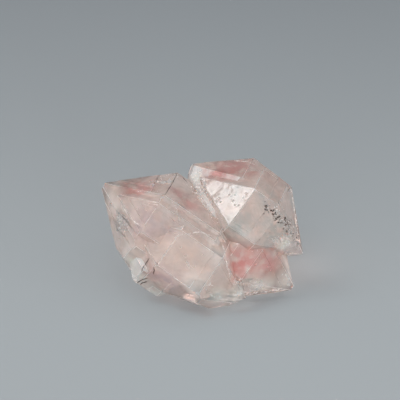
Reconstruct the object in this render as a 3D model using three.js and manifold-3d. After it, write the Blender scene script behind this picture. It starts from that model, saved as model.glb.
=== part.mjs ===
// A cluster of doubly terminated quartz crystals that grew side by side and into one another.
// Every crystal is the space inside quartz's own flat faces, so all interfacial angles are the
// mineral's. Lengths are millimetres, +Z is up, and the cluster rests on its lowest face.

import * as THREE from "three";
import { ConvexGeometry } from "three/addons/geometries/ConvexGeometry.js";
import { mergeVertices } from "three/addons/utils/BufferGeometryUtils.js";
import Module from "manifold-3d";

const { degToRad, lerp } = THREE.MathUtils;

// Quartz: six prism faces, and six rhombohedron faces at each end, whose outward normals
// stand this far from the crystal's long axis.
const RHOMB_ANGLE = degToRad(51.8);

// How the cluster lies. Upright, the long axis climbs to the left and leans a little to the
// front. The cluster then tilts back until the face it stands on is level.
const AXIS_PITCH = degToRad(35.5);
const AXIS_TILT = degToRad(4);
const TILT_BACK = degToRad(26);

// The crystals, in the frame in which they grew: toward the front, across, and along the long
// axis. `radius` is the distance from the axis to a prism face, `top` and `bottom` are how far
// the prism runs from the centre, and `grown` moves single faces out or in. Prism faces are
// m1 (front) to m6, every 60 degrees, with p1 to p6 over them and q1 to q6 under them.
//   ledges   steps down, across a face and parallel to its edge with another face
//   plates   low raised plates, parallel to a face and set in from all of its edges
//   chips    corners of three faces that are knocked off
const CRYSTALS = {
  upper_front: {
    at: [-0.9, 6.65, -4.6],
    radius: 5.6,
    top: 2.3,
    bottom: 2.4,
    grown: { q2: -0.4, q3: -0.4, q5: 0.1, q6: -0.1 },
    ledges: [
      { face: "m1", toward: "q1", inset: 1.1, drop: 0.07 },
      { face: "m1", toward: "m6", inset: 0.7, drop: 0.06 },
      { face: "m2", toward: "p2", inset: 1.5, drop: 0.08 },
      { face: "q1", toward: "q6", inset: 0.8, drop: 0.1 },
    ],
    chips: [{ corner: ["p1", "m1", "m2"], size: 0.12 }],
  },
  upper_back: {
    at: [-4.2, 6.6, -3.0],
    turn: [-2.2, 0, 0],
    radius: 5.8,
    top: 3.3,
    bottom: 4.1,
    grown: { q2: 0.18, q3: 0.25, m2: 0.3, m3: 0.3 },
    ledges: [
      { face: "p2", toward: "p3", inset: 0.9, drop: 0.1 },
      { face: "m2", toward: "p2", inset: 1.4, drop: 0.09 },
      { face: "m4", toward: "q4", inset: 2.2, drop: 0.16 },
      { face: "p3", toward: "p4", inset: 1.4, drop: 0.16 },
    ],
    plates: [{ face: "p3", inset: 1.5, rise: 0.16, shift: [0, 0, -0.6] }],
  },
  left_back: {
    at: [-2.8, -2.0, 2.0],
    turn: [1.2, 0, 0],
    radius: 6.5,
    top: 5.5,
    bottom: 4.0,
    grown: { m5: 0.5, m6: 0.7, p2: 0.15, p5: 0.3, p6: 0.3 },
    ledges: [
      { face: "p2", toward: "p1", inset: 1.0, drop: 0.1 },
      { face: "p2", toward: "m2", inset: 1.5, drop: 0.12 },
      { face: "p6", toward: "p1", inset: 1.3, drop: 0.16 },
      { face: "p6", toward: "p5", inset: 0.9, drop: 0.12 },
      { face: "m4", toward: "p4", inset: 2.6, drop: 0.18 },
      { face: "p4", toward: "p5", inset: 1.6, drop: 0.16 },
    ],
    plates: [{ face: "p4", inset: 1.9, rise: 0.14, shift: [0, 0, -0.6] }],
  },
  left_front: {
    at: [0.7, -2.0, 2.0],
    turn: [1.2, 0, 0],
    radius: 4.2,
    top: 5.6,
    bottom: 4.0,
    ledges: [
      { face: "p1", toward: "p6", inset: 0.8, drop: 0.12 },
      { face: "p1", toward: "p2", inset: 0.22, drop: 0.08 },
      { face: "m1", toward: "m2", inset: 0.8, drop: 0.07 },
      { face: "m2", toward: "p2", inset: 1.7, drop: 0.09 },
    ],
    chips: [{ corner: ["p1", "m1", "m2"], size: 0.09 }],
  },
  centre: {
    at: [0.75, -4.0, 0.0],
    turn: [0.8, 0, 0],
    radius: 5.3,
    top: 2.9,
    bottom: 4.15,
    grown: { q5: 0.55, q6: 0.55 },
    ledges: [
      { face: "m1", toward: "q1", inset: 0.9, drop: 0.07 },
      { face: "m6", toward: "p6", inset: 2.0, drop: 0.1 },
      { face: "q1", toward: "q2", inset: 0.55, drop: 0.08 },
      { face: "p1", toward: "p2", inset: 0.5, drop: 0.07 },
    ],
    plates: [
      { face: "q1", inset: 1.75, rise: 0.12, shift: [0, -1.0, 0.3] },
      { face: "q1", inset: 2.0, rise: 0.16, shift: [0, 0.75, 0.2] },
    ],
    chips: [
      { corner: ["q1", "m1", "m6"], size: 0.16 },
      { corner: ["q1", "m1", "m2"], size: 0.1 },
    ],
  },
  centre_back: { at: [-0.6, -3.6, -0.6], turn: [0.8, 0, 0], radius: 5.3, top: 2.0, bottom: 3.4 },
  lower_left: {
    at: [-1.4, -6.6, 1.9],
    turn: [0, 2, 0],
    radius: 3.98,
    top: 2.0,
    bottom: 2.0,
    ledges: [{ face: "m6", toward: "q6", inset: 0.9, drop: 0.1 }],
  },
  lower_right: {
    at: [-3.4, 1.6, -8.2],
    radius: 6.0,
    top: 3.0,
    bottom: 0.3,
    grown: { q5: 0.45, q6: 0.45 },
    ledges: [
      { face: "q1", toward: "q2", inset: 1.2, drop: 0.1 },
      { face: "q6", toward: "q1", inset: 0.7, drop: 0.08 },
      { face: "q3", toward: "m3", inset: 1.5, drop: 0.15 },
    ],
  },
  behind: { at: [-7.6, 2.2, 1.6], turn: [28, 34, -12], radius: 2.9, top: 2.2, bottom: 1.8 },
};

// The crystal under the others, turned so that the face it stands on is level.
const STANDING = {
  at: [-4.9, -2.6, 1.1],
  radius: 5.6,
  top: 2.0,
  bottom: 5.0,
  grown: { q5: -0.25 },
  foot: "q5",
};

// Shallow hollows where a crystal broke or pressed on rock. Places are in the upright cluster:
// right, up and toward the front. `facing` is the way out of the hollow, `hollow` its radius.
const SCARS = [
  { on: "upper_front", at: [12.9, -1.35, 0.4], facing: [0.63, -0.74, 0.22], hollow: 7 },
  { on: "upper_back", at: [-1.35, 8.8, -4], facing: [-0.93, 0.3, 0.22], hollow: 8 },
  { on: "left_back", at: [-14.4, 6.5, -2], facing: [-0.82, 0.5, 0.25], hollow: 14 },
  { on: "left_back", at: [-11.1, -3.75, -1.6], facing: [-0.86, -0.5, 0.08], hollow: 24 },
  { on: "centre", at: [-1.3, -9.65, 3], facing: [-0.36, -0.93, 0.02], hollow: 40 },
  { on: "centre_back", at: [-1.3, -9.65, 3], facing: [-0.36, -0.93, 0.02], hollow: 40 },
  { on: "centre", at: [4.75, -9.8, 1], facing: [0.48, -0.85, 0.15], hollow: 12 },
  { on: "lower_right", at: [6.5, -7.2, -1.6], facing: [0.2, -0.75, 0.63], hollow: 3.6 },
];
const SCAR_ROUGHNESS = 0.12;

// Bands of crystals too small to name, in line with the cluster and sunk in the face on which
// they sprouted. A band runs between two places of the upright cluster, right and up.
const SPROUTS = [
  { on: ["upper_back", "p1"], from: [-0.5, 8.8], to: [-0.3, 6.9], stray: 0.4, count: 22, size: [0.3, 0.7] },
  { on: ["upper_back", "p1"], from: [-0.3, 6.9], to: [1.3, 2], stray: 0.5, count: 34, size: [0.2, 0.7] },
  { on: ["upper_front", "p6"], from: [0.3, 7.3], to: [2, 3], stray: 0.3, count: 18, size: [0.2, 0.6] },
  { on: ["left_back", "p6"], from: [-12.4, 3.7], to: [-10.6, -0.4], stray: 1, count: 22, size: [0.2, 0.6] },
  { on: ["left_back", "p2"], from: [-7.2, 7.4], to: [-3.9, 7.6], stray: 0.3, count: 12, size: [0.2, 0.5] },
  { on: ["upper_front", "q1"], from: [11.2, -0.9], to: [13, 0.4], stray: 0.4, count: 14, size: [0.3, 0.7] },
];
const SPROUT_STRAY = degToRad(9);

// Triangular etch pits, strewn round a place of the upright cluster.
const PITS = [
  { on: ["upper_front", "p1"], near: [4.6, 5.3], stray: [2.6, 1.5], count: 15, size: [0.14, 0.34] },
  { on: ["left_front", "p1"], near: [-8.3, 3.9], stray: [1.1, 0.7], count: 5, size: [0.1, 0.22] },
  { on: ["centre", "m1"], near: [-0.4, -3.5], stray: [2.6, 1.8], count: 8, size: [0.1, 0.2] },
  { on: ["lower_right", "q1"], near: [9.6, -4.4], stray: [1.6, 1.4], count: 7, size: [0.12, 0.26] },
];
const PIT_SLOPE = 0.3;

// Farther out than any crystal reaches.
const FAR = 60;

const wasm = await Module();
wasm.setup();

let seed = 20731;
function random(low, high) {
  seed = (seed * 48271) % 2147483647;
  return low + ((high - low) * seed) / 2147483647;
}

// The planes of one crystal, by face name: outward normals and distances from its centre.
function facesOf({ radius, top, bottom, grown = {} }) {
  const faces = {};
  for (let side = 0; side < 6; side++) {
    const azimuth = (side * Math.PI) / 3;
    const outward = new THREE.Vector3(Math.cos(azimuth), Math.sin(azimuth), 0);
    faces["m" + (side + 1)] = { normal: outward, distance: radius };
    for (const [end, sign, reach] of [["p", 1, top], ["q", -1, bottom]]) {
      const normal = outward.clone().multiplyScalar(Math.sin(RHOMB_ANGLE));
      normal.z = sign * Math.cos(RHOMB_ANGLE);
      const distance = Math.sin(RHOMB_ANGLE) * radius + Math.cos(RHOMB_ANGLE) * reach;
      faces[end + (side + 1)] = { normal, distance };
    }
  }
  for (const [name, extra] of Object.entries(grown)) faces[name].distance += extra;
  return faces;
}

// The point where three planes meet, or null where they don't.
function meet(a, b, c) {
  const rows = new THREE.Matrix3();
  rows.set(...a.normal.toArray(), ...b.normal.toArray(), ...c.normal.toArray());
  if (Math.abs(rows.determinant()) < 1e-6) return null;
  return new THREE.Vector3(a.distance, b.distance, c.distance).applyMatrix3(rows.invert());
}

// The corners of the convex space that lies inside all the planes.
function cornersOf(planes) {
  const corners = [];
  for (const [i, a] of planes.entries()) {
    for (const [j, b] of planes.slice(i + 1).entries()) {
      for (const c of planes.slice(i + j + 2)) {
        const corner = meet(a, b, c);
        if (!corner || planes.some((p) => p.normal.dot(corner) > p.distance + 1e-6)) continue;
        if (!corners.some((other) => other.distanceTo(corner) < 1e-4)) corners.push(corner);
      }
    }
  }
  return corners;
}

function solidOf(geometry) {
  const bare = geometry.clone();
  bare.deleteAttribute("normal");
  bare.deleteAttribute("uv");
  const merged = mergeVertices(bare, 1e-5);
  const vertProperties = merged.attributes.position.array;
  const triVerts = new Uint32Array(merged.index.array);
  return new wasm.Manifold(new wasm.Mesh({ numProp: 3, vertProperties, triVerts }));
}

function solidInside(planes, place) {
  return solidOf(new ConvexGeometry(cornersOf(Object.values(planes))).applyMatrix4(place));
}

// The space beyond all the given planes, out to far away.
function solidBeyond(planes, place) {
  const walls = [];
  for (const { normal, distance } of planes) {
    walls.push({ normal: normal.clone().negate(), distance: -distance });
  }
  for (const axis of [[1, 0, 0], [0, 1, 0], [0, 0, 1]]) {
    walls.push({ normal: new THREE.Vector3(...axis), distance: FAR });
    walls.push({ normal: new THREE.Vector3(...axis).negate(), distance: FAR });
  }
  return solidInside(walls, place);
}

function turning([x, y, z]) {
  return new THREE.Matrix4().makeRotationFromEuler(new THREE.Euler(degToRad(x), degToRad(y), degToRad(z)));
}

// The growth frame as it lies in the upright cluster.
function growthFrame() {
  const along = new THREE.Vector3(
    -Math.cos(AXIS_PITCH) * Math.cos(AXIS_TILT),
    Math.sin(AXIS_PITCH) * Math.cos(AXIS_TILT),
    Math.sin(AXIS_TILT),
  );
  const across = new THREE.Vector3(Math.sin(AXIS_PITCH), Math.cos(AXIS_PITCH), 0);
  const front = across.clone().cross(along);
  return new THREE.Matrix4().makeBasis(front, across, along);
}

const frame = growthFrame();

function placeOf({ at, turn = [0, 0, 0] }) {
  return turning(turn).setPosition(...at).premultiply(frame);
}

function ledgeSolid(faces, { face, toward, inset, drop }, place) {
  const floor = { normal: faces[face].normal, distance: faces[face].distance - drop };
  const riser = { normal: faces[toward].normal, distance: faces[toward].distance - inset };
  return solidBeyond([floor, riser], place);
}

function plateSolid(faces, { face, inset, rise, shift }, place) {
  const plate = {};
  for (const [name, { normal, distance }] of Object.entries(faces)) {
    plate[name] = { normal, distance: name === face ? distance + rise : distance - inset };
  }
  const moved = new THREE.Vector3(...shift);
  plate[face].distance -= moved.dot(plate[face].normal);
  return solidInside(plate, place.clone().multiply(new THREE.Matrix4().setPosition(moved)));
}

function chipSolid(faces, { corner, size }, place) {
  const tip = meet(...corner.map((name) => faces[name]));
  const normal = new THREE.Vector3();
  for (const name of corner) normal.addScaledVector(faces[name].normal, random(0.8, 1.2));
  normal.normalize();
  return solidBeyond([{ normal, distance: normal.dot(tip) - size }], place);
}

// What broke away at a scar: a ball of flat facets, rough enough for an uneven break.
function scarSolid({ at, facing, hollow }) {
  const centre = new THREE.Vector3(...facing).setLength(hollow).add(new THREE.Vector3(...at));
  const smooth = new THREE.IcosahedronGeometry(hollow, Math.round(hollow * 0.3 + 2));
  smooth.deleteAttribute("normal");
  smooth.deleteAttribute("uv");
  const ball = mergeVertices(smooth, 1e-4);
  const { position } = ball.attributes;
  const point = new THREE.Vector3();
  for (let i = 0; i < position.count; i++) {
    point.fromBufferAttribute(position, i);
    point.setLength(hollow + random(-SCAR_ROUGHNESS, SCAR_ROUGHNESS)).add(centre);
    position.setXYZ(i, point.x, point.y, point.z);
  }
  return solidOf(ball);
}

function crystalSolid(name) {
  const { ledges = [], plates = [], chips = [], ...crystal } = CRYSTALS[name];
  const place = placeOf(crystal);
  const faces = facesOf(crystal);
  let solid = solidInside(faces, place);
  for (const ledge of ledges) solid = solid.subtract(ledgeSolid(faces, ledge, place));
  for (const plate of plates) solid = solid.add(plateSolid(faces, plate, place));
  for (const chip of chips) solid = solid.subtract(chipSolid(faces, chip, place));
  for (const scar of SCARS.filter(({ on }) => on === name)) solid = solid.subtract(scarSolid(scar));
  return solid;
}

function standingSolid({ at, foot, ...shape }) {
  const faces = facesOf(shape);
  const down = new THREE.Vector3(0, -Math.cos(TILT_BACK), -Math.sin(TILT_BACK));
  down.transformDirection(frame.clone().invert());
  const level = new THREE.Quaternion().setFromUnitVectors(faces[foot].normal, down);
  const place = new THREE.Matrix4().makeRotationFromQuaternion(level).setPosition(...at);
  return solidInside(faces, place.premultiply(frame));
}

// One face of a named crystal, as a plane of the upright cluster.
function planeOf([name, face]) {
  const crystal = CRYSTALS[name];
  const place = placeOf(crystal);
  const { normal, distance } = facesOf(crystal)[face];
  const middle = new THREE.Vector3().setFromMatrixPosition(place);
  const upright = normal.clone().transformDirection(place);
  return { normal: upright, distance: distance + upright.dot(middle) };
}

// The point of a plane that is seen from the front at a given place, right and up.
function pointOn(plane, right, up) {
  return meet(
    plane,
    { normal: new THREE.Vector3(1, 0, 0), distance: right },
    { normal: new THREE.Vector3(0, 1, 0), distance: up },
  );
}

function sproutSolids({ on, from, to, stray, count, size }) {
  const plane = planeOf(on);
  const solids = [];
  for (let i = 0; i < count; i++) {
    const way = (i + random(0, 1)) / count;
    const girth = random(...size) / 2;
    const right = lerp(from[0], to[0], way) + random(-stray, stray);
    const up = lerp(from[1], to[1], way) + random(-stray, stray);
    const at = pointOn(plane, right, up).addScaledVector(plane.normal, girth * random(-0.95, -0.55));
    at.applyMatrix4(frame.clone().invert());
    const turned = new THREE.Euler(...[0, 0, 0].map(() => random(-SPROUT_STRAY, SPROUT_STRAY)));
    const place = new THREE.Matrix4().makeRotationFromEuler(turned).setPosition(at);
    const shape = { radius: girth, top: girth * random(0.2, 1), bottom: girth * random(0.2, 1) };
    solids.push(solidInside(facesOf(shape), place.premultiply(frame)));
  }
  return solids;
}

function pitSolids({ on, near, stray, count, size }) {
  const plane = planeOf(on);
  const inward = plane.normal.clone().negate();
  const turned = new THREE.Quaternion().setFromUnitVectors(new THREE.Vector3(0, -1, 0), inward);
  const solids = [];
  for (let i = 0; i < count; i++) {
    const radius = random(...size);
    const depth = radius * PIT_SLOPE;
    const cone = new THREE.ConeGeometry(radius, depth, 3).rotateX(Math.PI);
    cone.translate(0, -depth * 0.48, 0);
    const right = near[0] + random(-stray[0], stray[0]);
    const at = pointOn(plane, right, near[1] + random(-stray[1], stray[1]));
    solids.push(solidOf(cone.applyQuaternion(turned).translate(at.x, at.y, at.z)));
  }
  return solids;
}

function clusterSolid() {
  let cluster = standingSolid(STANDING);
  for (const name of Object.keys(CRYSTALS)) cluster = cluster.add(crystalSolid(name));
  for (const sprout of SPROUTS.flatMap(sproutSolids)) {
    const rooted = cluster.intersect(sprout).getMesh().triVerts.length > 0;
    if (rooted) cluster = cluster.add(sprout);
  }
  for (const pit of PITS.flatMap(pitSolids)) cluster = cluster.subtract(pit);
  return cluster;
}

// The cluster tilted back onto its face, with the origin at the middle of its underside.
function clusterGeometry() {
  const { vertProperties, triVerts } = clusterSolid().getMesh();
  const geometry = new THREE.BufferGeometry();
  geometry.setAttribute("position", new THREE.BufferAttribute(Float32Array.from(vertProperties), 3));
  geometry.setIndex(new THREE.BufferAttribute(Uint32Array.from(triVerts), 1));
  geometry.rotateX(Math.PI / 2 - TILT_BACK);
  geometry.computeBoundingBox();
  const middle = geometry.boundingBox.getCenter(new THREE.Vector3());
  geometry.translate(-middle.x, -middle.y, -geometry.boundingBox.min.z);
  const faceted = geometry.toNonIndexed();
  faceted.computeVertexNormals();
  return faceted;
}

const quartz = new THREE.Mesh(
  clusterGeometry(),
  new THREE.MeshStandardMaterial({ color: 0xd8d2cf, roughness: 0.08, metalness: 0 }),
);
quartz.name = "quartz_cluster";

const group = new THREE.Group();
group.add(quartz);
export default group;
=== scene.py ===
"""Looks for a small cluster of clear, doubly terminated quartz crystals."""

import logging
import math
import random
from collections.abc import Iterator
from dataclasses import dataclass, field
from enum import Enum
from typing import Any

import bmesh
import bpy
from bpy.types import Material, MeshPolygon, Node, NodeSocket, NodeTree, Object
from mathutils import Euler, Matrix, Vector
from mathutils.bvhtree import BVHTree


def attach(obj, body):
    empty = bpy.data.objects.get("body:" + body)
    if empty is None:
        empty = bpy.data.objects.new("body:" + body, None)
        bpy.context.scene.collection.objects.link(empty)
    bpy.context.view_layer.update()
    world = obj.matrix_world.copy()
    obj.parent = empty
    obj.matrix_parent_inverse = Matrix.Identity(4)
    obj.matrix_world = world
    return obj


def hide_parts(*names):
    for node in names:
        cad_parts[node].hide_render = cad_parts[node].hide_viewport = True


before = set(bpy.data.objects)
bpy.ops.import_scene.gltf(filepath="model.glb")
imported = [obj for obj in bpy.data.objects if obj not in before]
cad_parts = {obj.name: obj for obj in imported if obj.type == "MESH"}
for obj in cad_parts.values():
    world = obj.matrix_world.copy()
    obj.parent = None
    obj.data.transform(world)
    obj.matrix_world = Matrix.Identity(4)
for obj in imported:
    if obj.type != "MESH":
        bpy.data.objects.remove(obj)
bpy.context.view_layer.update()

logging.basicConfig(level=logging.INFO, format="%(message)s")
LOG = logging.getLogger("quartz_cluster")

MM = 0.001
LOOK_DOWN = math.radians(26)  # the cluster is looked at from this far above the level
FACING = Euler((math.pi / 2 - LOOK_DOWN, 0, 0))  # the turn of a sheet that faces the viewer
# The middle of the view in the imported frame, in millimetres
VIEW_ORIGIN = Vector((-0.464, -2.041, 10.503))
VIEWER_LIFT_MM = 4.93
VIEWER_AWAY_MM = 250.0
BODY = "root"
CAD_NODE = "quartz_cluster"
REFRACTION = 1.544  # quartz
# The sockets of a Mix node for colours: its share, both colours and the mixed one
MIX_SHARE, MIX_UNDER, MIX_OVER, MIXED = 0, 6, 7, 2


class Facet(Enum):
    """How a face of the crystals came about, and the number of its finish on the piece."""

    GROWN = 0
    FROSTED = 1
    BROKEN = 2
    WORN = 3


def linear(code: str) -> tuple[float, float, float, float]:
    """Turns an sRGB hex colour to linear.

    Args:
        code: Six hex digits.

    Returns:
        Linear red, green and blue, and an alpha of 1.
    """
    parts = [int(code[i : i + 2], 16) / 255 for i in (0, 2, 4)]
    red, green, blue = (
        p / 12.92 if p <= 0.04045 else ((p + 0.055) / 1.055) ** 2.4 for p in parts
    )
    return red, green, blue, 1.0


def seen_at(right: float, up: float, near: float) -> Vector:
    """Gives the place of a point as the viewer sees it.

    Args:
        right: Millimetres to the right of the middle of the view.
        up: Millimetres above it.
        near: Millimetres from it toward the viewer.

    Returns:
        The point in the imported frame, in metres.
    """
    sine, cosine = math.sin(LOOK_DOWN), math.cos(LOOK_DOWN)
    turned = Vector((right, up * sine - near * cosine, up * cosine + near * sine))
    return (turned + VIEW_ORIGIN) * MM


def add_node(
    tree: NodeTree, kind: str, inputs: dict[Any, Any] | None = None, **settings: Any
) -> Node:
    """Adds a node with its settings and links.

    Args:
        tree: The node tree that it goes into.
        kind: The node's type, without ShaderNode in front.
        inputs: A value, or the socket it is linked from, for each input.
        settings: The node's own settings.

    Returns:
        The node.
    """
    node = tree.nodes.new(f"ShaderNode{kind}")
    for name, value in settings.items():
        setattr(node, name, value)
    for name, value in (inputs or {}).items():
        if isinstance(value, NodeSocket):
            tree.links.new(value, node.inputs[name])
        else:
            node.inputs[name].default_value = value
    return node


def new_material(name: str) -> tuple[Material, NodeTree]:
    """Makes a material that has no nodes yet.

    Args:
        name: What the stuff is and how its surface came about.

    Returns:
        The material and its node tree.
    """
    material = bpy.data.materials.new(name)
    material.use_nodes = True
    material.node_tree.nodes.clear()
    return material, material.node_tree


def take_up(*objects: Object) -> None:
    """Selects objects alone.

    Args:
        objects: The objects. The first one is made active.
    """
    bpy.ops.object.select_all(action="DESELECT")
    for one in objects:
        one.select_set(True)
    bpy.context.view_layer.objects.active = objects[0]


def pick_nothing(piece: Object) -> None:
    """Deselects the whole mesh of a piece, so that its edges can be picked in code.

    Args:
        piece: The piece.
    """
    take_up(piece)
    bpy.ops.object.mode_set(mode="EDIT")
    bpy.ops.mesh.select_mode(type="EDGE")
    bpy.ops.mesh.select_all(action="DESELECT")
    bpy.ops.object.mode_set(mode="OBJECT")


def settle(piece: Object) -> None:
    """Puts a piece's place, turn and scale into its mesh."""
    take_up(piece)
    bpy.ops.object.transform_apply(location=True, rotation=True, scale=True)


def joined(name: str, pieces: list[Object]) -> Object:
    """Joins pieces into one object, with its place in its mesh.

    Args:
        name: The new piece's name.
        pieces: What it is made of.

    Returns:
        The new piece.
    """
    take_up(*pieces)
    bpy.ops.object.join()
    piece = bpy.context.object
    piece.name = name
    settle(piece)
    return piece


def press_in(piece: Object) -> None:
    """Flattens what stands out by a hair past the box of the bare cluster.

    Args:
        piece: The piece, with its place in its mesh.
    """
    places = [vertex.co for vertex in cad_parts[CAD_NODE].data.vertices]
    low = [min(place[axis] for place in places) for axis in range(3)]
    high = [max(place[axis] for place in places) for axis in range(3)]
    for vertex in piece.data.vertices:
        vertex.co = [min(max(v, a), b) for v, a, b in zip(vertex.co, low, high)]


def hand_in(piece: Object, *replaced: str) -> None:
    """Lets a piece ride on the cluster's body.

    Args:
        piece: The finished piece, with its place in its mesh.
        replaced: The CAD nodes that it stands for.
    """
    press_in(piece)
    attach(piece, BODY)
    if replaced:
        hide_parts(*replaced)
    LOG.info("%s: %d faces", piece.name, len(piece.data.polygons))


@dataclass(frozen=True)
class Patch:
    """A round patch in the crystal that fades out from its middle.

    Attributes:
        at: Its middle as seen, right, up and near, in millimetres.
        reach_mm: How far from there it has faded out.
        amount: How strong it is in its middle.
    """

    at: tuple[float, float, float]
    reach_mm: float
    amount: float = 1.0

    def mask(self, tree: NodeTree, place: NodeSocket) -> NodeSocket:
        """Adds nodes for how strong the patch is at a place.

        Args:
            tree: The material's nodes.
            place: The socket that gives the place.

        Returns:
            The socket with the patch's strength.
        """
        middle = tuple(seen_at(*self.at))
        away = add_node(tree, "VectorMath", {0: place, 1: middle}, operation="DISTANCE")
        fade = add_node(tree, "MapRange", {
            "Value": away.outputs["Value"],
            "From Max": self.reach_mm * MM,
            "To Min": self.amount,
            "To Max": 0.0,
        }, interpolation_type="SMOOTHSTEP")
        return fade.outputs["Result"]

    def holds(self, point: Vector) -> bool:
        """Tells if a point, in metres, lies in the patch."""
        return (point - seen_at(*self.at)).length < self.reach_mm * MM


def strongest(tree: NodeTree, place: NodeSocket, patches: tuple[Patch, ...]) -> NodeSocket:
    """Adds nodes for the strongest of the patches at a place.

    Args:
        tree: The material's nodes.
        place: The socket that gives the place.
        patches: The patches.

    Returns:
        The socket with the strength.
    """
    total = patches[0].mask(tree, place)
    for patch in patches[1:]:
        more = patch.mask(tree, place)
        total = add_node(tree, "Math", {0: total, 1: more}, operation="MAXIMUM").outputs[0]
    return total


@dataclass(frozen=True)
class Clouds:
    """A cloudy pattern.

    Attributes:
        size_mm: The size of a cloud.
        starts: The noise value at which a cloud starts.
        full: The noise value at which it is full.
        detail: How many finer layers of noise there are.
        rough: How strong those are.
        warp: How much the noise is warped.
    """

    size_mm: float
    starts: float = 0.42
    full: float = 0.68
    detail: float = 6.0
    rough: float = 0.65
    warp: float = 0.6

    def mask(self, tree: NodeTree, place: NodeSocket, most: float = 1.0) -> NodeSocket:
        """Adds nodes for how full a cloud is at a place.

        Args:
            tree: The material's nodes.
            place: The socket that gives the place.
            most: What a full cloud gives.

        Returns:
            The socket with the strength.
        """
        noise = add_node(tree, "TexNoise", {
            "Vector": place,
            "Scale": 1 / (self.size_mm * MM),
            "Detail": self.detail,
            "Roughness": self.rough,
            "Distortion": self.warp,
        })
        between = {"From Min": self.starts, "From Max": self.full, "To Max": most}
        thick = add_node(tree, "MapRange", {"Value": noise.outputs["Fac"], **between})
        return thick.outputs["Result"]


@dataclass(frozen=True)
class Ripples:
    """Low waves or fine lines on a face.

    Attributes:
        size_mm: How far apart they lie.
        depth_mm: How deep they are.
        strength: How much they show.
        detail: How many finer layers of noise there are.
        along: How much the noise is drawn out along level lines, with 1 for not at all.
    """

    size_mm: float
    depth_mm: float = 0.3
    strength: float = 0.12
    detail: float = 2.0
    along: float = 1.0

    def bump(
        self, tree: NodeTree, place: NodeSocket, under: NodeSocket | None = None
    ) -> NodeSocket:
        """Adds nodes for the ripples.

        Args:
            tree: The material's nodes.
            place: The socket that gives the place.
            under: The normal of the face that they lie on, or None where it is plain.

        Returns:
            The socket with the rippled face's normal.
        """
        stretch = (self.along, self.along, 1.0)
        drawn_out = add_node(tree, "Mapping", {"Vector": place, "Scale": stretch})
        noise = add_node(tree, "TexNoise", {
            "Vector": drawn_out.outputs[0],
            "Scale": 1 / (self.size_mm * MM),
            "Detail": self.detail,
        })
        ripples = {
            "Height": noise.outputs["Fac"],
            "Strength": self.strength,
            "Distance": self.depth_mm * MM,
        }
        if under is not None:
            ripples["Normal"] = under
        return add_node(tree, "Bump", ripples).outputs[0]


@dataclass(frozen=True)
class PaintedWash:
    """A faint painted colour, for painted reflection, shade and highlight, and the patches of the
    crystal that have it.
    """

    colour: str
    patches: tuple[Patch, ...]


# Painted reflection, red-brown: the warm colour seen through the crystal, along the top, and
# between the left and the upper crystals
PAINTED_RUSSET_REFLECTION = PaintedWash(
    "C68A86",
    (
        Patch((5.0, 9.6, -2.0), 4.2, 0.9),
        Patch((2.6, 8.8, -0.9), 3.4),
        Patch((9.5, 7.4, -1.0), 2.6, 0.6),
        Patch((-9.8, 6.8, 1.2), 2.8, 0.9),
        Patch((-3.6, 6.0, 2.0), 2.0, 0.9),
    ),
)
# Painted reflection, rosy: the warm colour seen through the crystal, round the red-brown patches,
# at the lower right and faintly at the lower left
PAINTED_ROSE_REFLECTION = PaintedWash(
    "E9A7A2",
    (
        Patch((5.0, 9.0, -1.6), 5.5, 0.7),
        Patch((-8.5, 7.0, 1.0), 4.5, 0.7),
        Patch((-1.6, 4.6, 2.4), 3.4, 0.8),
        Patch((6.0, -4.0, 2.1), 4.6),
        Patch((10.0, -4.2, 0.0), 4.0),
        Patch((-6.5, -6.0, 4.0), 4.0, 0.4),
    ),
)
# Painted shade and reflection, cool grey: the grey seen through the crystal, darkening the upper
# crystal and the left and right ends of the cluster
PAINTED_COOL_SHADE_AND_REFLECTION = PaintedWash(
    "CCD2CE",
    (
        Patch((11.0, 0.6, 3.2), 6.0),
        Patch((5.0, 1.0, 4.4), 5.0),
        Patch((10.0, 5.0, 4.4), 5.0, 0.8),
        Patch((5.0, 5.5, 2.6), 3.5, 0.9),
        Patch((-11.5, 2.0, 1.0), 3.6, 0.7),
        Patch((14.2, 1.5, -1.0), 2.6, 0.9),
        Patch((14.0, 4.5, -3.0), 3.0, 0.9),
    ),
)
# Painted shade, mauve grey: darker on the left crystal's front face, and low on the left
PAINTED_MAUVE_SHADE = PaintedWash(
    "D3C1C4",
    (
        Patch((-7.8, 1.6, 4.6), 4.5),
        Patch((-4.8, 1.0, 4.4), 3.0, 0.8),
        Patch((-4.6, -6.6, 4.3), 4.0, 0.9),
    ),
)
# Painted highlight, white: along the lower rims, at the right, and in the notch at the top
PAINTED_WHITE_HIGHLIGHT = PaintedWash(
    "FFF7EC",
    (
        Patch((-9.2, -6.3, 0.2), 3.2),
        Patch((-10.2, -4.4, 0.2), 2.0),
        Patch((-6.6, -8.6, -1.0), 3.4),
        Patch((5.5, -8.6, 1.2), 2.8),
        Patch((9.0, -7.6, -1.2), 3.0),
        Patch((-0.9, 8.5, -1.5), 1.7),
        Patch((12.4, -1.6, 1.0), 2.4),
        Patch((2.2, -8.6, 3.8), 2.4, 0.8),
    ),
)
# Milky places: lower left rim, under the middle crystal, and where it meets the upper one
HAZY_PATCHES = (
    Patch((2.7, -2.0, 4.3), 3.4),
    Patch((-1.0, -7.1, 5.8), 3.4, 0.9),
    Patch((-5.0, -6.5, 4.3), 4.5, 0.7),
    Patch((-9.0, -6.5, 0.1), 4.5),
    Patch((-6.5, -8.6, -1.0), 3.5),
    Patch((-9.9, -3.6, 0.6), 3.0),
    Patch((-9.1, -2.6, 2.4), 3.0, 0.9),
    Patch((5.5, -8.6, 1.2), 3.0, 0.9),
    Patch((12.6, -6.8, -3.4), 3.0),
    Patch((9.0, -7.6, -1.2), 3.4),
    Patch((12.4, -1.6, 1.0), 2.6),
    Patch((-0.9, 8.5, -1.5), 1.9),
    Patch((7.5, -4.6, 1.0), 6.0, 0.6),
    Patch((6.0, -0.6, 3.4), 3.0, 0.8),
    Patch((3.0, -9.4, 3.0), 3.4),
    Patch((-12.5, 4.0, 0.5), 3.0, 0.7),
)


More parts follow.
